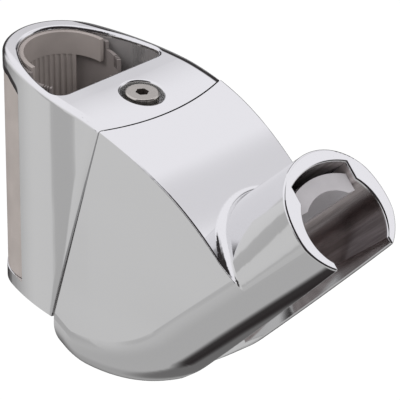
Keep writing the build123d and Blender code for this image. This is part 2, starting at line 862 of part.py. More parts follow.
def make_cradle():
    """Chromed casting with the cup."""
    form = cradle_form()
    body = form - cradle_hollow()
    body += (ears() + bridge()) & form
    body -= rod((hinge_x, -far / 2, hinge_z), (0, 1, 0), pin_radius + pin_press, far) & ears()
    body -= cup_bore()
    body -= notch()
    body = fillet([edge for edge in body.edges() if is_slot_edge(edge)], slot_round)
    body = fillet([edge for edge in body.edges() if is_rim_edge(edge)], rim_round)
    body -= behind_parting(parting_gap_top, parting_gap_bottom)
    return body - adjuster_hole()


def adjuster_hole():
    """Hole for the adjusting screw through the bridge."""
    start = (bridge_back_x - overrun, 0, brake_z)
    return rod(start, (1, 0, 0), adjuster_radius + pin_press, adjuster_length + overrun)


def make_back_cover():
    """Plastic plate in the back of the hollow, with a lip that shows in the parting gap."""
    back_top = parting_gap_top - cover_reach_top
    back_bottom = parting_gap_bottom - cover_reach_bottom
    behind = behind_parting(back_top, back_bottom)
    slab = behind_parting(back_top + cover_thickness, back_bottom + cover_thickness) - behind
    plate = cradle_envelope(cradle_wall + cover_gap) & under_top(cradle_wall + cover_gap) & slab
    gap = behind_parting(parting_gap_top, parting_gap_bottom) - behind
    lip = cradle_envelope(cover_lip_inset) & gap
    lip &= plan_view(Rectangle(2 * far, 2 * far), -far, cover_lip_top)
    window = Pos(0, 0, cover_window_bottom) * Box(
        2 * far, 2 * cover_window_half_width, far, align=(Align.CENTER, Align.CENTER, Align.MIN))
    hole = rod((0, 0, brake_z), (1, 0, 0), cover_hole_radius, far)
    return plate + lip - window - hole


def make_brake_pad():
    """Rubber pad with a hollow face for the rail."""
    back = rail_radius + brake_gap + pad_thickness
    block = Pos(back, 0, brake_z) * Box(back, 2 * brake_half_width, 2 * (brake_half_height - pad_margin),
                                        align=(Align.MAX, Align.CENTER, Align.CENTER))
    block -= Cylinder(rail_radius + brake_gap, far)
    return block & plan_view(Pos(far / 2, 0) * Rectangle(far, far))


def make_brake_shoe():
    """Plastic shoe behind the pad."""
    back = rail_radius + brake_gap + pad_thickness
    length = shoe_front_x - back
    block = Pos(back, 0, brake_z) * Box(length, 2 * brake_half_width, 2 * brake_half_height,
                                        align=(Align.MIN, Align.CENTER, Align.CENTER))
    return fillet(block.edges().filter_by(Axis.X), shoe_round)


def make_adjusting_screw():
    """Set screw with a hexagon socket at its front end."""
    tip = shoe_front_x + adjuster_tip_gap
    bar = rod((tip, 0, brake_z), (1, 0, 0), adjuster_radius, adjuster_length)
    bar = chamfer(bar.edges().group_by(Axis.X)[0], adjuster_chamfer)
    socket = extrude(RegularPolygon(adjuster_socket / 2, 6, major_radius=False), adjuster_socket_depth)
    front = Plane(origin=(tip + adjuster_length, 0, brake_z), z_dir=(-1, 0, 0))
    return bar - front * socket


def make_adjusting_nut():
    """Lock nut against the bridge."""
    plane = Plane(origin=(bridge_back_x, 0, brake_z), z_dir=(-1, 0, 0))
    outline = RegularPolygon(nut_flats / 2, 6, major_radius=False) - Circle(adjuster_radius + pin_press)
    return plane * extrude(outline, nut_thickness)


def write_part(name, solid):
    """One file for each piece."""
    shape = Compound(children=solid) if isinstance(solid, list) else solid
    export_step(shape, os.path.join("parts", name + ".step"))


def main():
    """Build every piece and write it."""
    os.makedirs("parts", exist_ok=True)
    write_part("slider_housing", make_slider_housing())
    write_part("rear_panel", make_rear_panel())
    write_part("guide_sleeve", make_guide_sleeve())
    write_part("rear_guide", make_rear_guide())
    write_part("front_guide", make_front_guide())
    write_part("guide_screws", make_guide_screws())
    write_part("pivot_block", make_pivot_block())
    write_part("block_dowels", list(dowels().solids()))
    write_part("top_screw", make_top_screw())
    write_part("lock_washer", make_lock_washer())
    write_part("hinge_bushes", make_hinge_bushes())
    write_part("hinge_pins", make_hinge_pins())
    write_part("leaf_spring", make_leaf_spring())
    write_part("spring_screw", make_spring_screw())
    write_part("cradle", make_cradle())
    write_part("cup_insert", make_cup_insert())
    write_part("back_cover", make_back_cover())
    write_part("brake_shoe", make_brake_shoe())
    write_part("brake_pad", make_brake_pad())
    write_part("adjusting_screw", make_adjusting_screw())
    write_part("adjusting_nut", make_adjusting_nut())


if __name__ == "__main__":
    main()
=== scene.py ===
"""Looks of a chromed hand shower holder: finishes for every piece and the studio that shows it."""

import json
import math

import bmesh
import bpy
from bpy.props import FloatProperty, FloatVectorProperty, PointerProperty
from mathutils import Matrix, Vector


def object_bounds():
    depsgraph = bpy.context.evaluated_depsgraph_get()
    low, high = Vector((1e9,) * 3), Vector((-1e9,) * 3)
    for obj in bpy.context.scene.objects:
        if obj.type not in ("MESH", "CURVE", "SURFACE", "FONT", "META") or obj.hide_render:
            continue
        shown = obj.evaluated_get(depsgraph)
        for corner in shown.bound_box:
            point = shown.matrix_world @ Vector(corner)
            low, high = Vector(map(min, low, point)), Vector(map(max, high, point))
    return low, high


bl_info = {
    "name": "Hand shower holder",
    "version": (1, 0, 0),
    "blender": (4, 5, 0),
    "location": "View3D > Sidebar > Holder",
    "description": "Dresses the slider, cradle, guides and screws of a hand shower holder",
    "category": "Object",
}

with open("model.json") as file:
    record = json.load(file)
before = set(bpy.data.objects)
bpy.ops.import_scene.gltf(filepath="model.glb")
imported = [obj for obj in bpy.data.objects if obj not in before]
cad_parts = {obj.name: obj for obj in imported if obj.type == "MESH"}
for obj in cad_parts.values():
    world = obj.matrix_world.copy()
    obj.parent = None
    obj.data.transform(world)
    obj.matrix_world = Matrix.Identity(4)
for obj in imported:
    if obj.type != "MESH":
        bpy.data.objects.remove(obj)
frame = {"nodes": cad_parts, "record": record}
CAD_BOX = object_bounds()
NODES = frame["nodes"]
MOUNTS = {mount["name"]: mount for mount in frame["record"]["mounts"]}
MM = 0.001
WHITE = (1.0, 1.0, 1.0)

# Soft border of a finish that ends at an edge
BORDER = 0.1 * MM

# Cup of the cradle: its seat narrows by 1.1 mm over 36 mm, and the insert's recess lies behind it
CUP_MOUTH = Vector(MOUNTS["handset_cup"]["pos_m"])
CUP_AXIS = Vector(MOUNTS["handset_cup"]["axis"])
CUP_TILT = math.atan2(CUP_AXIS.z, CUP_AXIS.x)
CUP_RADIUS = 12.1 * MM
CUP_TAPER = 1.1 / 36.0
CUP_WALL_FADE = (0.03 * MM, 0.3 * MM)
CUP_RIM_FADE = (-0.9 * MM, -0.3 * MM)
RECESS_DEPTH = 3.5 * MM
RECESS_TURN_FADE = (1.0, 1.1)

# Top of the slider, which falls towards the cup, and the rail's passage through it
TOP_HEIGHT = 31.0 * MM
TOP_SLOPE = 0.0993
PASSAGE_RADIUS = 15.2 * MM
PASSAGE_FLARE = 0.26
PASSAGE_FRONT = 16.5 * MM
PASSAGE_RIM_FADE = (0.9 * MM, 1.5 * MM)

# Side line of the slider in plan, and the leaning parting face at its front
SLIDER_HALF_WIDTH = CAD_BOX[1][1]
SLIDER_WIDEST = 24.0 * MM
SLIDER_BULGE = 6.4
SIDE_FADE = (-1.6 * MM, -1.2 * MM)
EDGE_SPAN = (-1.25, 0.4)
PARTING_FRONT = 24.05 * MM
PARTING_LEAN = 0.2745

# Screw in the top of the slider
SCREW_PLACE = 26.0 * MM
SCREW_FACE = Vector((SCREW_PLACE, 0.0, TOP_HEIGHT - SCREW_PLACE * TOP_SLOPE))
SCREW_AXIS = Vector((TOP_SLOPE, 0.0, 1.0)).normalized()
SOCKET_RADIUS = 1.8 * MM
SOCKET_TOP = -0.3 * MM
COUNTERBORE_RADIUS = 5.5 * MM

# Upper edge of the rear panel's window, level behind its corner and falling to its front end
WINDOW_CORNER = Vector((-6.0, 0.0, 27.2)) * MM
WINDOW_FRONT = Vector((0.0, 0.0, 24.6)) * MM


class Value:
    """A shader socket that takes part in Python expressions."""

    def __init__(self, nodes, socket):
        self.nodes = nodes
        self.socket = socket

    def math(self, operation, *others):
        inputs = dict(enumerate((self, *others)))
        return self.nodes.add("ShaderNodeMath", {"operation": operation}, inputs)

    def __add__(self, other):
        return self.math("ADD", other)

    __radd__ = __add__

    def __mul__(self, other):
        return self.math("MULTIPLY", other)

    __rmul__ = __mul__

    def __sub__(self, other):
        return self.math("SUBTRACT", other)

    def __rsub__(self, other):
        return (self * -1.0).math("ADD", other)

    def __truediv__(self, other):
        return self.math("DIVIDE", other)

    def ease(self, low, high):
        """Smooth step from 0 at low to 1 at high."""
        settings = {"interpolation_type": "SMOOTHSTEP"}
        inputs = {"Value": self, "From Min": low, "From Max": high}
        return self.nodes.add("ShaderNodeMapRange", settings, inputs)

    def held(self, low, high):
        """The value, kept between two limits."""
        return self.math("MAXIMUM", low).math("MINIMUM", high)

    def part(self, name):
        """One of X, Y and Z of a vector."""
        return self.nodes.add("ShaderNodeSeparateXYZ", inputs={0: self}, output=name)


class Nodes:
    """Adds nodes to one shader tree."""

    def __init__(self, tree):
        self.tree = tree
        tree.nodes.clear()

    def add(self, kind, settings=None, inputs=None, output=0):
        """New node with its settings set first, then its sockets. Gives one of its outputs."""
        node = self.tree.nodes.new(kind)
        for name, value in (settings or {}).items():
            setattr(node, name, value)
        for name, value in (inputs or {}).items():
            if isinstance(value, Value):
                self.tree.links.new(value.socket, node.inputs[name])
            else:
                node.inputs[name].default_value = value
        return Value(self, node.outputs[output]) if node.outputs else node

    def mix(self, factor, first, second):
        """Colour between two colours. The node's colour sockets are its inputs 6 and 7 and its output 2."""
        ends = [value if isinstance(value, Value) else (*value, 1.0) for value in (first, second)]
        return self.add("ShaderNodeMix", {"data_type": "RGBA"}, {0: factor, 6: ends[0], 7: ends[1]}, 2)

    def object_place(self):
        """Point on the piece, in metres."""
        return self.add("ShaderNodeTexCoord", output="Object")

    def noise(self, place, scale, detail=2.0, roughness=0.5):
        """Cloudy noise between 0 and 1."""
        inputs = {"Vector": place, "Scale": scale, "Detail": detail, "Roughness": roughness}
        return self.add("ShaderNodeTexNoise", {}, inputs, "Fac")

    def stretched(self, place, turn, scale):
        """Coordinates turned and scaled, for a pattern with a direction."""
        return self.add("ShaderNodeMapping", {}, {"Vector": place, "Rotation": turn, "Scale": scale})

    def bump(self, height, distance, strength=1.0, under=None):
        """Surface normal from a height between 0 and 1, over another bump if one is given."""
        inputs = {"Height": height, "Distance": distance, "Strength": strength}
        if under is not None:
            inputs["Normal"] = under
        return self.add("ShaderNodeBump", {}, inputs)

    def vector(self, operation, first, second=None, output=0):
        """Vector maths on one vector or on two."""
        inputs = {0: first} if second is None else {0: first, 1: second}
        return self.add("ShaderNodeVectorMath", {"operation": operation}, inputs, output)

    def dot(self, vector, direction):
        """Share of a vector along a direction."""
        return self.vector("DOT_PRODUCT", vector, tuple(direction), "Value")

    def camera_ray(self):
        """1 where the camera looks straight at the surface or the world."""
        return self.add("ShaderNodeLightPath", output="Is Camera Ray")

    def glossy_ray(self):
        """1 where a bright surface mirrors the world."""
        return self.add("ShaderNodeLightPath", output="Is Glossy Ray")

    def surface(self, **inputs):
        """Principled surface as the tree's output."""
        named = {name.replace("_", " "): value for name, value in inputs.items()}
        self.output("ShaderNodeOutputMaterial", self.add("ShaderNodeBsdfPrincipled", {}, named))

    def output(self, kind, shader):
        """Ends the tree."""
        self.add(kind, {}, {"Surface": shader})


def new_material(name):
    """Empty node material and the means to fill it."""
    material = bpy.data.materials.new(name)
    material.use_nodes = True
    return material, Nodes(material.node_tree)


def colour_setting(name, description, default):
    """Property for a colour."""
    return FloatVectorProperty(name=name, description=description, subtype="COLOR", default=default)


def place_setting(name, description, default):
    """Property for a point, in metres."""
    return FloatVectorProperty(name=name, description=description, subtype="TRANSLATION", default=default)


def length_setting(name, description, default):
    """Property for a length, in metres."""
    return FloatProperty(name=name, description=description, subtype="DISTANCE", default=default)


def angle_setting(name, description, degrees):
    """Property for an angle."""
    return FloatProperty(name=name, description=description, subtype="ANGLE", default=math.radians(degrees))


def share_setting(name, description, default):
    """Property for a share between 0 and 1."""
    return FloatProperty(
        name=name, description=description, subtype="FACTOR", default=default, min=0.0, max=1.0)


def level_setting(name, description, default):
    """Property for a level of light, with 1 for plain white."""
    return FloatProperty(name=name, description=description, default=default, min=0.0)


def power_setting(name, description, default):
    """Property for a lamp's power, in watts."""
    return FloatProperty(name=name, description=description, subtype="POWER", default=default, min=0.0)


class HolderFinish(bpy.types.PropertyGroup):
    """Colours and gloss of the holder's materials."""

    chrome: colour_setting("Chrome", "Tint of the polished chrome", (0.78, 0.78, 0.785))
    chrome_roughness: share_setting("Chrome roughness", "Blur of the chrome's reflections", 0.07)
    chrome_wave: length_setting("Chrome wave", "Height of the casting's faint waves", 0.4 * MM)
    # Painted shade: the dark tint inside the cup, over its dull plating
    cup_dull_and_shade: colour_setting("Cup inside", "Tint of the dull plating in the cup", (0.34, 0.3, 0.297))
    # Painted reflection: lighter streaks along the cup's axis
    cup_painted_streak: colour_setting("Cup streaks", "Tint of the drawn streaks in the cup", (0.56, 0.51, 0.51))
    # Passage wall: dull plating, and a darker tint that is painted shade inside the passage
    passage_dull_and_shade: colour_setting("Passage wall", "Tint of the dull plating in the passage", (0.42, 0.4, 0.4))
    edge_fall: length_setting("Edge fall", "How far the slider's top falls at its polished edge", 0.65 * MM)
    edge_reach: length_setting("Edge reach", "Width of the polished edge", 1.8 * MM)
    roll_fall: length_setting("Roll fall", "How far the sides roll in towards the parting gap", 0.22 * MM)
    roll_reach: length_setting("Roll reach", "Width of that roll", 3.6 * MM)
    lip_fall: length_setting("Lip fall", "How far the collar turns in above the rear panel", 0.9 * MM)
    lip_reach: length_setting("Lip reach", "Width of that turned edge", 2.0 * MM)
    # Painted shade: the dark tint inside the top screw's hexagon socket
    socket: colour_setting("Screw socket", "Tint of the dull steel in the socket", (0.07, 0.058, 0.052))
    panel: colour_setting("Rear panel", "Colour of the panel at the back", (0.45, 0.4, 0.375))
    lining: colour_setting("Lining", "Colour of the lining in the passage", (0.24, 0.212, 0.206))
    guide: colour_setting("Guides", "Colour of the two rail guides", (0.36, 0.318, 0.302))
    insert: colour_setting("Cup insert", "Colour of the pad in the cup", (0.48, 0.46, 0.48))
    cover: colour_setting("Back cover", "Colour of the cradle's back cover", (0.3, 0.29, 0.29))
    shoe: colour_setting("Brake shoe", "Colour of the brake shoe", (0.1, 0.1, 0.105))
    rubber: colour_setting("Brake pad", "Colour of the rubber pad", (0.03, 0.03, 0.03))
    steel: colour_setting("Steel", "Tint of screws, pins and spring", (0.6, 0.57, 0.53))
    block: colour_setting("Pivot block", "Tint of the cast block", (0.55, 0.55, 0.56))
    brass: colour_setting("Bushes", "Tint of the brass bushes", (0.72, 0.53, 0.26))


class HolderStudio(bpy.types.PropertyGroup):
    """Camera, floor and lamps."""

    azimuth: angle_setting("Azimuth", "Camera's turn about the rail", 44.6)
    elevation: angle_setting("Elevation", "Camera's height above the horizon", 26.72)
    distance: length_setting("Distance", "Camera's distance from its aim", 1.0)
    lens: FloatProperty(name="Lens", description="Focal length", subtype="DISTANCE_CAMERA", default=367.2)
    aim: place_setting("Aim", "Point of the holder that the camera is set by", (38.0 * MM, 0.0, 3.4 * MM))
    aim_right: length_setting("Aim right", "Picture's centre to the right of the aim", 5.55 * MM)
    aim_up: length_setting("Aim up", "Picture's centre above the aim", -0.5 * MM)
    floor_drop: length_setting("Floor drop", "Gap between the holder and the floor", 0.3)
    floor_size: length_setting("Floor size", "Half the floor's width", 6.0)
    floor_grey: level_setting("Floor grey", "Level of the floor's matt colour", 0.8)
    floor_glow: share_setting("Floor glow", "Share of plain white in the floor as the camera sees it", 0.7)
    floor_white: level_setting("Floor white", "Level of that plain white", 1.16)
    fill: level_setting("Fill", "Even light from all sides", 0.7)
    key: power_setting("Key", "Power of the lamp at the front left", 6.0)
    key_place: place_setting("Key place", "Where that lamp stands", (-0.35, -0.7, 0.9))
    key_size: length_setting("Key size", "Width of that lamp", 0.6)
    side: power_setting("Side", "Power of the lamp at the right", 3.0)
    side_place: place_setting("Side place", "Where that lamp stands", (0.8, 0.1, 0.7))
    side_size: length_setting("Side size", "Width of that lamp", 0.7)


class HolderTent(bpy.types.PropertyGroup):
    """What bright metal mirrors around the holder. Turns go from the camera to its right."""

    sky: level_setting("Sky", "Level of the tent above the holder", 1.0)
    sky_tint: colour_setting("Sky tint", "Colour of the tent against the table's white", (1.0, 0.99, 1.035))
    table: level_setting("Table", "Level of the table around the holder", 0.66)
    table_fall: level_setting("Table fall", "Loss of level towards the holder's foot", 0.19)
    dark: colour_setting("Dark", "Colour of what no light reaches", (0.02, 0.016, 0.0165))
    room_turn: angle_setting("Room turn", "Turn of the dark room on the camera's side", 15.0)
    gap_turn: angle_setting("Gap turn", "Turn of the dark opening in the tent", 55.0)
    gap_rise: angle_setting("Gap rise", "Height of that opening above the horizon", 52.0)
    room_dark: share_setting("Room dark", "Depth of the dark room and the opening", 0.985)
    back_dark: share_setting("Back dark", "Depth of the dark behind the holder", 0.96)
    sheet_light: share_setting("Sheet light", "Share of that dark that a grey sheet takes away", 0.6)
    base_dark: share_setting("Base dark", "Depth of the shadow straight below the holder", 0.96)
    foot_dark: share_setting("Foot dark", "Depth of the softer shadow beside it", 0.6)
    band_turn: angle_setting("Band turn", "Turn of the soft dark band at the left", -98.5)
    band_dark: share_setting("Band dark", "Depth of that band", 0.28)
    line_turn: angle_setting("Line turn", "Turn of the thin shade on the table", -70.0)
    line_dark: share_setting("Line dark", "Depth of that shade's line", 0.15)
    tail_dark: share_setting("Tail dark", "Depth of its soft tail", 0.06)
    seam_turn: angle_setting("Seam turn", "Turn of the shade in the tent's right side", 116.0)
    seam_rise: angle_setting("Seam rise", "Height of that shade above the horizon", 47.0)
    seam_dark: share_setting("Seam dark", "Depth of that shade", 0.2)
    skirt_dark: share_setting("Skirt dark", "Depth of the shade along the tent's lower back", 0.2)


def dress(material, *names):
    """Gives CAD pieces their finish."""
    for name in names:
        slots = NODES[name].data.materials
        slots.clear()
        slots.append(material)


def cup_depth(nodes, place):
    """How far a point lies outside the cup's seat, along its axis and round it."""
    up = Vector((-CUP_AXIS.z, 0.0, CUP_AXIS.x))
    offset = nodes.vector("SUBTRACT", place, tuple(CUP_MOUTH))
    along = nodes.dot(offset, CUP_AXIS)
    rise = nodes.dot(offset, up)
    across = offset.part("Y")
    radius = (rise * rise + across * across).math("SQRT")
    wall = CUP_RADIUS + along * CUP_TAPER
    return radius - wall, along, across.math("ARCTAN2", rise)


def passage_wall(place):
    """1 on the wall of the rail passage, below its rim."""
    long, across, height = place.part("X"), place.part("Y"), place.part("Z")
    behind = long.math("MINIMUM", 0.0)
    radius = (behind * behind + across * across).math("SQRT")
    reach = PASSAGE_RADIUS + long.math("MAXIMUM", 0.0) * PASSAGE_FLARE
    depth = TOP_HEIGHT - long * TOP_SLOPE - height
    within = (reach - radius).ease(-BORDER, BORDER) * (PASSAGE_FRONT - long).ease(-BORDER, BORDER)
    return within * depth.ease(*PASSAGE_RIM_FADE)


def past_edge(place):
    """How far a point lies outside the slider's side line in plan."""
    back = (place.part("X") - SLIDER_WIDEST).math("MINIMUM", 0.0)
    return place.part("Y").math("ABSOLUTE") + back * back * SLIDER_BULGE - SLIDER_HALF_WIDTH


def edge_height(place, finish):
    """Height of the slider's top near its long edges, which polishing has rounded: 1 on the flat."""
    return 1.0 - (past_edge(place) / finish.edge_reach).ease(*EDGE_SPAN)


def roll_height(place, finish):
    """Height of the slider's sides near the parting gap, where they roll in: 1 away from it."""
    behind = PARTING_FRONT + place.part("Z") * PARTING_LEAN - place.part("X")
    step = (1.0 - behind / finish.roll_reach).held(0.0, 1.0)
    return 1.0 - step * step * past_edge(place).ease(*SIDE_FADE)


def lip_height(place, finish):
    """Height of the collar near the rear window's upper edge, where it turns in: 1 above it."""
    long, height = place.part("X"), place.part("Z")
    slope = (WINDOW_FRONT.z - WINDOW_CORNER.z) / (WINDOW_FRONT.x - WINDOW_CORNER.x)
    edge = (WINDOW_CORNER.z + (long - WINDOW_CORNER.x) * slope).math("MINIMUM", WINDOW_CORNER.z)
    step = (1.0 - (height - edge) / finish.lip_reach).held(0.0, 1.2)
    beside = 1.0 - long.ease(WINDOW_FRONT.x - finish.lip_reach, WINDOW_FRONT.x + BORDER)
    return 1.0 - step * step * beside * height.ease(0.0, 0.5 * WINDOW_FRONT.z)


def from_screw(nodes, place):
    """Distance of a point from the top screw's axis, and its height over the slider's top there."""
    offset = nodes.vector("SUBTRACT", place, tuple(SCREW_FACE))
    along = nodes.dot(offset, SCREW_AXIS)
    span = nodes.vector("LENGTH", offset, output="Value")
    return (span * span - along * along).math("MAXIMUM", 0.0).math("SQRT"), along


def chrome_base(nodes, place, finish):
    """Roughness, from clouds and wiping marks, and the faint waves that both castings share."""
    cloud = nodes.noise(place, scale=90.0)
    wiped = nodes.stretched(place, turn=(0.3, 0.2, 0.5), scale=(900.0, 120.0, 900.0))
    wipe = nodes.noise(wiped, scale=1.0, detail=4.0)
    drawn = nodes.stretched(place, turn=(0.0, CUP_TILT, 0.0), scale=(7.0, 34.0, 34.0))
    wave = nodes.noise(drawn, scale=1.0, detail=1.0)
    return finish.chrome_roughness + (cloud - 0.5) * 0.02 + (wipe - 0.5) * 0.02, wave


def slider_chrome(finish):
    """Polished chrome with rounded edges, dull in the screw's counterbore, and dull in the passage, where a
    darker tint is painted shade.
    """
    material, nodes = new_material("slider_chrome")
    place = nodes.object_place()
    roughness, wave = chrome_base(nodes, place, finish)
    passage = passage_wall(place)
    from_axis, over_top = from_screw(nodes, place)
    sunk = (over_top * -1.0).ease(0.5 * BORDER, 1.5 * BORDER)
    bored = (COUNTERBORE_RADIUS - from_axis).ease(0.0, 0.5 * BORDER) * sunk
    # Painted shade: the passage wall gets a darker tint along with its duller plating
    tint = nodes.mix(passage, tuple(finish.chrome), tuple(finish.passage_dull_and_shade))
    plating = 1.0 - passage * 0.5 - bored * 0.2
    blur = roughness + passage * 0.3 + bored * 0.2
    normal = nodes.bump(edge_height(place, finish), finish.edge_fall)
    normal = nodes.bump(lip_height(place, finish), finish.lip_fall, under=normal)
    normal = nodes.bump(roll_height(place, finish), finish.roll_fall, under=normal)
    normal = nodes.bump(wave, finish.chrome_wave, under=normal)
    nodes.surface(Base_Color=tint, Metallic=plating, Roughness=blur, Normal=normal)
    return material


def cradle_chrome(finish):
    """Polished chrome, with dull plating inside the cup under a dark tint that is painted shade and streaks
    along the cup's axis that are painted reflection.
    """
    material, nodes = new_material("cradle_chrome")
    place = nodes.object_place()
    roughness, wave = chrome_base(nodes, place, finish)
    outside, along, turn = cup_depth(nodes, place)
    behind_seat = 1.0 - outside.ease(RECESS_DEPTH - BORDER, RECESS_DEPTH)
    recess = behind_seat * (1.0 - turn.math("ABSOLUTE").ease(*RECESS_TURN_FADE))
    seat = (1.0 - outside.ease(*CUP_WALL_FADE)).math("MAXIMUM", recess)
    inside = seat * (1.0 - along.ease(*CUP_RIM_FADE))
    # Painted reflection and painted shade: streaks along the cup's axis over a dark inside tint
    drawn = nodes.add("ShaderNodeCombineXYZ", {}, {0: turn * 2.2, 1: along * 9.0, 2: 0.0})
    painted_streak = nodes.noise(drawn, scale=3.0, detail=3.0, roughness=0.6).ease(0.35, 0.7)
    dull = nodes.mix(painted_streak, tuple(finish.cup_dull_and_shade), tuple(finish.cup_painted_streak))
    tint = nodes.mix(inside, tuple(finish.chrome), dull)
    plating = 1.0 - inside * recess * 0.7
    blur = roughness + inside * 0.12
    normal = nodes.bump(wave, finish.chrome_wave)
    nodes.surface(Base_Color=tint, Metallic=plating, Roughness=blur, Normal=normal)
    return material


def moulded_plastic(name, colour, roughness=0.45, grain=0.02 * MM):
    """Satin moulded plastic with a fine grain."""
    material, nodes = new_material(name)
    place = nodes.object_place()
    cloud = nodes.noise(place, scale=120.0, detail=3.0)
    fine = nodes.noise(place, scale=4500.0)
    dull = tuple(0.88 * part for part in colour)
    tint = nodes.mix(cloud.ease(0.3, 0.7), dull, tuple(colour))
    gloss = roughness + (fine - 0.5) * 0.15
    nodes.surface(Base_Color=tint, Roughness=gloss, Normal=nodes.bump(fine, grain, strength=0.35))
    return material


def rubber_finish(colour, roughness=0.7, grain=0.04 * MM):
    """Dull moulded rubber."""
    material, nodes = new_material("pad_rubber")
    place = nodes.object_place()
    fine = nodes.noise(place, scale=2600.0, detail=3.0)
    cloud = nodes.noise(place, scale=160.0)
    tint = nodes.mix(cloud, tuple(colour), tuple(1.7 * part for part in colour))
    gloss = roughness + (fine - 0.5) * 0.2
    nodes.surface(Base_Color=tint, Roughness=gloss, Normal=nodes.bump(fine, grain, strength=0.5))
    return material


def clouded_metal(nodes, place, colour):
    """Tint of a metal with faint darker clouds."""
    cloud = nodes.noise(place, scale=300.0)
    return nodes.mix(cloud, tuple(0.85 * part for part in colour), tuple(colour))


def bright_metal(name, colour, roughness=0.22, grain=1500.0):
    """Turned or rolled metal with fine tool marks."""
    material, nodes = new_material(name)
    place = nodes.object_place()
    lined = nodes.stretched(place, turn=(0.0, 0.1, 0.0), scale=(grain, grain, 0.12 * grain))
    marks = nodes.noise(lined, scale=1.0, detail=3.0)
    tint = clouded_metal(nodes, place, colour)
    gloss = roughness + (marks - 0.5) * 0.15
    normal = nodes.bump(marks, 0.006 * MM, strength=0.3)
    nodes.surface(Base_Color=tint, Metallic=1.0, Roughness=gloss, Normal=normal)
    return material


def screw_with_shaded_socket(finish):
    """Bright turned steel, with painted shade in the hexagon socket as a dark, dull tint."""
    material, nodes = new_material("steel_with_painted_socket_shade")
    place = nodes.object_place()
    radius, along = from_screw(nodes, place)
    painted_socket_shade = (SOCKET_RADIUS - radius).ease(0.0, 0.5 * BORDER) * (SOCKET_TOP - along).ease(0.0, BORDER)
    turned = nodes.noise(radius * 1500.0, scale=1.0)
    # Painted shade: the hexagon socket is tinted dark
    tint = nodes.mix(painted_socket_shade, clouded_metal(nodes, place, finish.steel), tuple(finish.socket))
    gloss = 0.2 + (turned - 0.5) * 0.1 + painted_socket_shade * 0.3
    nodes.surface(Base_Color=tint, Metallic=1.0 - painted_socket_shade * 0.6, Roughness=gloss)
    return material


class HOLDER_OT_castings(bpy.types.Operator):
    """Chromes the slider housing and the cradle"""

    bl_idname = "holder.castings"
    bl_label = "Chromed castings"

    def execute(self, context):
        finish = context.scene.holder_finish
        dress(slider_chrome(finish), "slider_housing")
        dress(cradle_chrome(finish), "cradle")
        return {"FINISHED"}


class HOLDER_OT_plastics(bpy.types.Operator):
    """Finishes the moulded plastic pieces"""

    bl_idname = "holder.plastics"
    bl_label = "Plastic pieces"

    def execute(self, context):
        finish = context.scene.holder_finish
        dress(moulded_plastic("panel_plastic", finish.panel), "rear_panel")
        dress(moulded_plastic("lining_plastic", finish.lining), "guide_sleeve")
        dress(moulded_plastic("guide_plastic", finish.guide), "rear_guide", "front_guide")
        dress(moulded_plastic("insert_plastic", finish.insert, roughness=0.35), "cup_insert")
        dress(moulded_plastic("cover_plastic", finish.cover), "back_cover")
        dress(moulded_plastic("shoe_plastic", finish.shoe), "brake_shoe")
        dress(rubber_finish(finish.rubber), "brake_pad")
        return {"FINISHED"}


class HOLDER_OT_metals(bpy.types.Operator):
    """Finishes the screws, pins, spring, block and bushes"""

    bl_idname = "holder.metals"
    bl_label = "Metal pieces"

    def execute(self, context):
        finish = context.scene.holder_finish
        steel = bright_metal("bright_steel", finish.steel)
        dress(screw_with_shaded_socket(finish), "top_screw")
        dress(steel, "lock_washer", "guide_screws", "block_dowels", "hinge_pins", "leaf_spring",
              "spring_screw", "adjusting_screw", "adjusting_nut")
        dress(bright_metal("block_metal", finish.block, roughness=0.4, grain=700.0), "pivot_block")
        dress(bright_metal("bush_brass", finish.brass, roughness=0.25), "hinge_bushes")
        return {"FINISHED"}


def camera_axes(studio):
    """Directions from the aim to the camera, to the picture's right and to its top."""
    sin_a, cos_a = math.sin(studio.azimuth), math.cos(studio.azimuth)
    sin_e, cos_e = math.sin(studio.elevation), math.cos(studio.elevation)
    back = Vector((sin_a * cos_e, -cos_a * cos_e, sin_e))
    right = Vector((cos_a, sin_a, 0.0))
    return back, right, back.cross(right)


def make_camera(studio):
    """Camera at the photograph's angle."""
    back, right, up = camera_axes(studio)
    centre = Vector(studio.aim) + right * studio.aim_right + up * studio.aim_up
    data = bpy.data.cameras.new("camera")
    data.lens = studio.lens
    data.sensor_width = 36.0
    data.clip_start = 0.01
    camera = bpy.data.objects.new("camera", data)
    camera.location = centre + back * studio.distance
    camera.rotation_mode = "QUATERNION"
    camera.rotation_quaternion = (-back).to_track_quat("-Z", "Y")
    bpy.context.scene.collection.objects.link(camera)
    bpy.context.scene.camera = camera


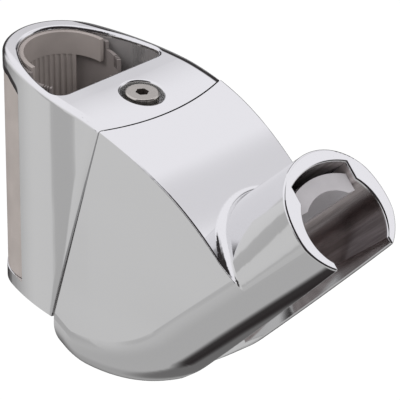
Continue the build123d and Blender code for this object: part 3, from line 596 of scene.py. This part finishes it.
class Around:
    """Masks over the directions that bright metal mirrors. Turns go from the camera to its right, rises go up
    from the horizon, and all angles are in degrees."""

    def __init__(self, nodes, studio):
        back, self.right, _ = camera_axes(studio)
        self.front = Vector((back.x, back.y, 0.0)).normalized()
        self.nodes = nodes
        self.direction = nodes.add("ShaderNodeTexCoord", output="Generated")
        self.bearing = nodes.vector("NORMALIZE", nodes.vector("MULTIPLY", self.direction, (1.0, 1.0, 0.0)))
        self.height = self.direction.part("Z")

    def way(self, turn, rise=0.0):
        """Direction at a turn and a rise."""
        turn, rise = math.radians(turn), math.radians(rise)
        level = self.front * math.cos(turn) + self.right * math.sin(turn)
        return level * math.cos(rise) + Vector((0.0, 0.0, math.sin(rise)))

    def sector(self, turn, full, end):
        """Upright sector about a turn: 1 out to the angle full from its middle, 0 from the angle end on."""
        along = self.nodes.dot(self.bearing, self.way(turn))
        return along.ease(math.cos(math.radians(end)), math.cos(math.radians(full)))

    def spot(self, turn, rise, full, end):
        """Round spot: 1 out to the angle full from its middle, 0 from the angle end on."""
        along = self.nodes.dot(self.direction, self.way(turn, rise))
        return along.ease(math.cos(math.radians(end)), math.cos(math.radians(full)))

    def above(self, low, high):
        """0 below the rise low, 1 above the rise high."""
        return self.height.ease(math.sin(math.radians(low)), math.sin(math.radians(high)))

    def under(self, high, low):
        """0 above the rise high, 1 below the rise low."""
        return 1.0 - self.above(low, high)


def dark_room(around, tent):
    """The room on the camera's side, the opening in the tent above it and a slit at its left."""
    turn = math.degrees(tent.room_turn)
    room = around.spot(turn, 0.0, full=65.2, end=83.1) * around.sector(turn + 12.0, full=58.0, end=68.0)
    room = room * around.above(-30.0, -11.5)
    opening = around.spot(math.degrees(tent.gap_turn), math.degrees(tent.gap_rise), full=19.1, end=23.8)
    slit = around.sector(-57.0, full=7.0, end=11.0) * around.above(-20.5, -11.5) * around.under(5.7, 0.0)
    return room.math("MAXIMUM", opening).math("MAXIMUM", slit)


def dark_back(around, tent):
    """The dark behind the holder with a wall at its left, and a grey sheet in its middle."""
    back = around.sector(180.0, full=18.2, end=65.2) * around.above(-53.1, -30.0) * around.under(34.1, 23.6)
    wall = around.sector(-160.0, full=26.0, end=36.0) * around.above(-23.6, -16.3) * around.under(26.7, 17.5)
    sheet = around.sector(180.0, full=9.9, end=17.2) * around.above(-30.0, -23.6) * around.under(6.9, 1.1)
    return back.math("MAXIMUM", wall) * (1.0 - sheet * tent.sheet_light)


def soft_shades(around, tent):
    """Shades on the table and in the tent's cloth, each with its depth."""
    foot = around.spot(169.1, -68.8, full=11.5, end=21.6)
    band = around.sector(math.degrees(tent.band_turn), full=5.2, end=6.8)
    band = band * around.under(0.0, -8.6) * around.above(-44.4, -30.0)
    left = around.sector(math.degrees(tent.line_turn), full=9.9, end=16.7)
    line = left * around.under(-28.6, -31.2) * around.above(-34.8, -31.1)
    tail = left * around.under(-29.2, -32.0) * around.above(-42.8, -32.0)
    seam = around.spot(math.degrees(tent.seam_turn), math.degrees(tent.seam_rise), full=0.0, end=13.1)
    skirt = around.sector(180.0, full=31.8, end=53.1) * around.under(42.8, 30.0)
    return ((foot, tent.foot_dark), (band, tent.band_dark), (line, tent.line_dark), (tail, tent.tail_dark),
            (seam, tent.seam_dark), (skirt, tent.skirt_dark))


def surround(nodes, studio, tent):
    """Colour that bright metal meets in each direction: a white tent above a grey table, a dark room on the
    camera's side, the dark behind the holder and soft shades between them."""
    around = Around(nodes, studio)
    sky = around.above(-17.5, 23.6)
    table = tent.table - around.under(-23.6, -53.1) * tent.table_fall
    table = table * (1.0 - around.under(-76.4, -84.9) * tent.base_dark)
    level = sky * tent.sky + (1.0 - sky) * table
    level = level * (1.0 - dark_room(around, tent) * tent.room_dark)
    level = level * (1.0 - dark_back(around, tent) * tent.back_dark)
    for shade, depth in soft_shades(around, tent):
        level = level * (1.0 - shade * depth)
    tint = nodes.mix(sky, WHITE, tuple(tent.sky_tint))
    return nodes.mix(level, tuple(tent.dark), tint)


def make_world(studio, tent):
    """Light of the tent, and white behind the holder."""
    world = bpy.data.worlds.new("studio")
    bpy.context.scene.world = world
    world.use_nodes = True
    nodes = Nodes(world.node_tree)
    even = (studio.fill, studio.fill, studio.fill)
    light = nodes.mix(nodes.glossy_ray(), even, surround(nodes, studio, tent))
    colour = nodes.mix(nodes.camera_ray(), light, WHITE)
    shader = nodes.add("ShaderNodeBackground", {}, {"Color": colour})
    nodes.output("ShaderNodeOutputWorld", shader)


def make_floor(studio):
    """Pale floor far enough below the holder that its shadow lies outside the picture."""
    low = CAD_BOX[0][2] - studio.floor_drop
    mesh = bmesh.new()
    bmesh.ops.create_grid(mesh, x_segments=1, y_segments=1, size=studio.floor_size,
                          matrix=Matrix.Translation((0.0, 0.0, low)))
    data = bpy.data.meshes.new("floor")
    mesh.to_mesh(data)
    mesh.free()
    floor = bpy.data.objects.new("floor", data)
    bpy.context.scene.collection.objects.link(floor)
    floor.visible_glossy = False
    material, nodes = new_material("pale_floor")
    grey = (studio.floor_grey, studio.floor_grey, studio.floor_grey, 1.0)
    matt = nodes.add("ShaderNodeBsdfDiffuse", {}, {"Color": grey})
    glow = nodes.add("ShaderNodeEmission", {}, {"Color": (*WHITE, 1.0), "Strength": studio.floor_white})
    white = nodes.camera_ray() * studio.floor_glow
    shader = nodes.add("ShaderNodeMixShader", {}, {0: white, 1: matt, 2: glow})
    nodes.output("ShaderNodeOutputMaterial", shader)
    data.materials.append(material)


def make_lamp(name, place, size, watts, aim):
    """Wide soft lamp that bright metal doesn't show as a disk."""
    data = bpy.data.lights.new(name, "AREA")
    data.shape = "DISK"
    data.size = size
    data.energy = watts
    lamp = bpy.data.objects.new(name, data)
    lamp.location = place
    lamp.rotation_mode = "QUATERNION"
    lamp.rotation_quaternion = (aim - Vector(place)).to_track_quat("-Z", "Y")
    lamp.visible_glossy = False
    bpy.context.scene.collection.objects.link(lamp)


class HOLDER_OT_stage(bpy.types.Operator):
    """Sets up the camera, the tent, the floor and the lamps"""

    bl_idname = "holder.stage"
    bl_label = "Studio"

    def execute(self, context):
        studio = context.scene.holder_studio
        make_camera(studio)
        make_world(studio, context.scene.holder_tent)
        make_floor(studio)
        aim = Vector(studio.aim)
        make_lamp("key", studio.key_place, studio.key_size, studio.key, aim)
        make_lamp("side", studio.side_place, studio.side_size, studio.side, aim)
        context.scene.view_settings.view_transform = "Standard"
        return {"FINISHED"}


STEPS = (HOLDER_OT_castings, HOLDER_OT_plastics, HOLDER_OT_metals, HOLDER_OT_stage)


class HOLDER_PT_panel(bpy.types.Panel):
    """Lists the steps that dress the holder"""

    bl_idname = "HOLDER_PT_panel"
    bl_label = "Hand shower holder"
    bl_space_type = "VIEW_3D"
    bl_region_type = "UI"
    bl_category = "Holder"

    def draw(self, context):
        for step in STEPS:
            self.layout.operator(step.bl_idname)


CLASSES = (HolderFinish, HolderStudio, HolderTent, *STEPS, HOLDER_PT_panel)


def register():
    for item in CLASSES:
        bpy.utils.register_class(item)
    bpy.types.Scene.holder_finish = PointerProperty(type=HolderFinish)
    bpy.types.Scene.holder_studio = PointerProperty(type=HolderStudio)
    bpy.types.Scene.holder_tent = PointerProperty(type=HolderTent)


def unregister():
    del bpy.types.Scene.holder_tent
    del bpy.types.Scene.holder_studio
    del bpy.types.Scene.holder_finish
    for item in reversed(CLASSES):
        bpy.utils.unregister_class(item)


def main():
    register()
    bpy.ops.holder.castings()
    bpy.ops.holder.plastics()
    bpy.ops.holder.metals()
    bpy.ops.holder.stage()


if __name__ == "__main__":
    main()
